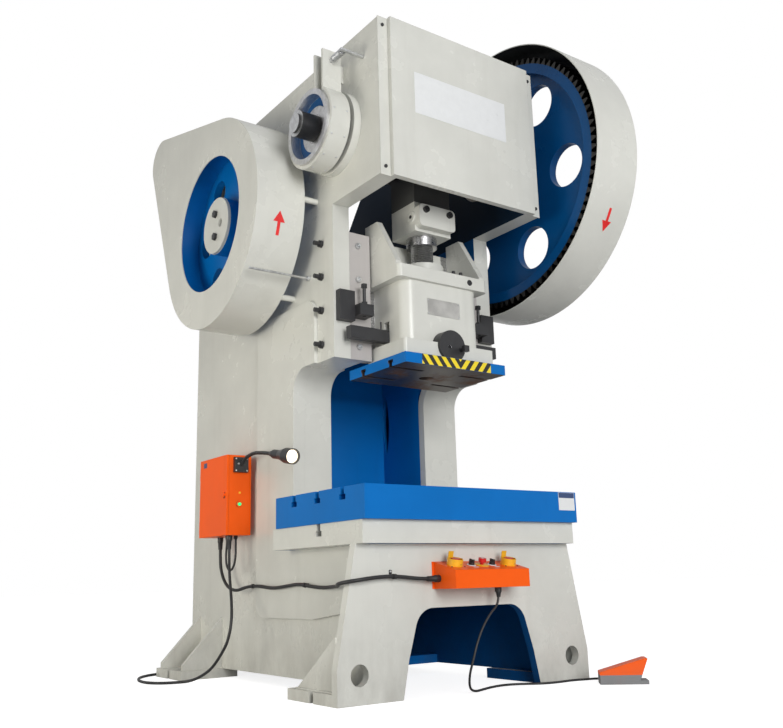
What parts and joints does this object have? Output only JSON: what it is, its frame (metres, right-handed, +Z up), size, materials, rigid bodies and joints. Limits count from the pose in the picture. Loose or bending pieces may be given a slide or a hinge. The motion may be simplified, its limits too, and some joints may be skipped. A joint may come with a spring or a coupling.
{
  "type": "mechanical stamping press",
  "caption": "Open-front crank press with a C-shaped welded frame, geared flywheel drive, guided slide, slotted bolster, two-hand console, electrical box and foot pedal.",
  "frame": {"origin": "middle of the footprint box on the floor, cords and their plug apart", "axes": "+Z up, -Y towards the operator, +X to the operator's right"},
  "size_m": [1.6885, 2.6153, 3.2899],
  "materials": {
    "frame_paint": "satin off-white enamel",
    "blue_paint": "gloss blue enamel",
    "orange_paint": "gloss orange powder coat",
    "yellow_plastic": "moulded yellow",
    "bright_steel": "machined, oiled",
    "dark_steel": "black oxide",
    "gear_iron": "blue enamel with greased bare teeth",
    "zinc_steel": "zinc plated",
    "bronze": "cast bronze",
    "motor_paint": "blue enamel",
    "black_plastic": "moulded black",
    "red_plastic": "moulded red",
    "green_plastic": "moulded green",
    "black_rubber": "black cable sheath",
    "belt_rubber": "worn belt"
  },
  "bodies": {
    "frame": {"left_side_plate": "frame_paint", "right_side_plate": "frame_paint", "left_throat_flange": "frame_paint", "right_throat_flange": "frame_paint", "throat_liner": "blue_paint", "rear_plate": "frame_paint", "roof_plate": "frame_paint", "table_plate": "frame_paint", "bolster": "blue_paint", "front_legs": "frame_paint", "rear_feet": "frame_paint", "base_tie_bar": "blue_paint", "gibs": "frame_paint", "stop_blocks": "dark_steel", "crank_bearings": "blue_paint", "shaft_bearings": "blue_paint", "front_cover": "frame_paint", "flywheel_guard": "frame_paint", "gear_guard": "frame_paint", "motor_plate": "frame_paint", "motor": "motor_paint", "v_belts": "belt_rubber", "brake_band": "frame_paint", "brake_tension_rod": "zinc_steel", "frame_screws": "dark_steel", "console_box": "orange_paint", "palm_guards": "yellow_plastic", "electrical_box": "orange_paint", "work_lamp": "black_plastic", "control_conduit": "black_rubber", "supply_cord": "black_rubber", "cord_coil": "black_rubber", "supply_plug": "black_plastic", "foot_cord": "black_rubber", "pedal_housing": "orange_paint"},
    "crank": {"crankshaft": "bright_steel", "brake_drum": "blue_paint", "cam_switch": "black_plastic"},
    "rod": {"connecting_rod": "frame_paint", "rod_cap": "frame_paint", "rod_screws": "dark_steel", "lock_nut": "bright_steel"},
    "slide": {"slide": "frame_paint", "slide_plate": "blue_paint", "shank_clamp": "dark_steel"},
    "adjusting_screw": {"adjusting_screw": "bright_steel"},
    "knockout_bar": {"knockout_bar": "dark_steel"},
    "gear": {"big_gear": "gear_iron"},
    "drive": {"pinion_shaft": "bright_steel", "flywheel": "blue_paint", "shaft_end_disc": "zinc_steel"},
    "motor_pulley": {"motor_pulley": "dark_steel"},
    "left_palm_button": {"left_palm_button": "red_plastic"},
    "right_palm_button": {"right_palm_button": "red_plastic"},
    "emergency_button": {"emergency_button": "red_plastic"},
    "left_selector": {"left_selector": "black_plastic"},
    "right_selector": {"right_selector": "black_plastic"},
    "box_door": {"box_door": "orange_paint"},
    "start_button": {"start_button": "green_plastic"},
    "pedal_treadle": {"pedal_treadle": "dark_steel"}
  },
  "joints": [
    {"name": "stroke", "type": "slide", "parent": "frame", "child": "rod", "axis": [0, 0, 1], "range_m": [-0.16, 0]},
    {"name": "crank_turn", "type": "hinge", "parent": "frame", "child": "crank", "pos_m": [0.0125, -0.45956, 2.548], "axis": [-1, 0, 0], "range_deg": [0, 180]},
    {"name": "die_height", "type": "slide", "parent": "rod", "child": "slide", "axis": [0, 0, 1], "range_m": [-0.09, 0.01]},
    {"name": "screw_turn", "type": "hinge", "parent": "slide", "child": "adjusting_screw", "pos_m": [0.0125, -0.45956, 1.862], "axis": [0, 0, 1], "range_deg": [-2700.1, 300.1]},
    {"name": "knockout", "type": "slide", "parent": "slide", "child": "knockout_bar", "axis": [0, 0, 1], "range_m": [0, 0.045]},
    {"name": "gear_turn", "type": "hinge", "parent": "frame", "child": "gear", "pos_m": [0.6425, -0.45956, 2.548], "axis": [1, 0, 0], "continuous": true},
    {"name": "drive_turn", "type": "hinge", "parent": "frame", "child": "drive", "pos_m": [0.0125, 0.27762, 2.28114], "axis": [1, 0, 0], "continuous": true},
    {"name": "pulley_turn", "type": "hinge", "parent": "frame", "child": "motor_pulley", "pos_m": [-0.6875, 0.98041, 2.91453], "axis": [1, 0, 0], "continuous": true},
    {"name": "left_palm_button", "type": "slide", "parent": "frame", "child": "left_palm_button", "axis": [0, 0.2441, -0.9698], "range_m": [0, 0.006], "stiffness_N_per_m": 600, "springref_m": -0.01},
    {"name": "right_palm_button", "type": "slide", "parent": "frame", "child": "right_palm_button", "axis": [0, 0.2441, -0.9698], "range_m": [0, 0.006], "stiffness_N_per_m": 600, "springref_m": -0.01},
    {"name": "emergency_button", "type": "slide", "parent": "frame", "child": "emergency_button", "axis": [0, 0.2441, -0.9698], "range_m": [0, 0.005]},
    {"name": "left_selector", "type": "hinge", "parent": "frame", "child": "left_selector", "pos_m": [-0.0455, -0.80106, 0.5215], "axis": [0, -0.2441, 0.9698], "range_deg": [-45, 45]},
    {"name": "right_selector", "type": "hinge", "parent": "frame", "child": "right_selector", "pos_m": [0.0705, -0.80106, 0.5215], "axis": [0, -0.2441, 0.9698], "range_deg": [-45, 45]},
    {"name": "door_swing", "type": "hinge", "parent": "frame", "child": "box_door", "pos_m": [-0.6215, 0.70344, 0.907], "axis": [0, 0, -1], "range_deg": [0, 110]},
    {"name": "start_button", "type": "slide", "parent": "frame", "child": "start_button", "axis": [0, 1, 0], "range_m": [0, 0.004], "stiffness_N_per_m": 500, "springref_m": -0.01},
    {"name": "treadle", "type": "hinge", "parent": "frame", "child": "pedal_treadle", "pos_m": [0.59699, -0.91987, 0.032], "axis": [0.6756, 0.7373, 0], "range_deg": [0, 10], "stiffness_Nm_per_rad": 20, "springref_deg": -6.88}
  ],
  "couplings": [
    {"joint": "crank_turn", "follows": "stroke", "rad_per_m": -19.635},
    {"joint": "screw_turn", "follows": "die_height", "rad_per_m": 523.6},
    {"joint": "drive_turn", "follows": "gear_turn", "ratio": -6},
    {"joint": "pulley_turn", "follows": "gear_turn", "ratio": -32.526}
  ]
}
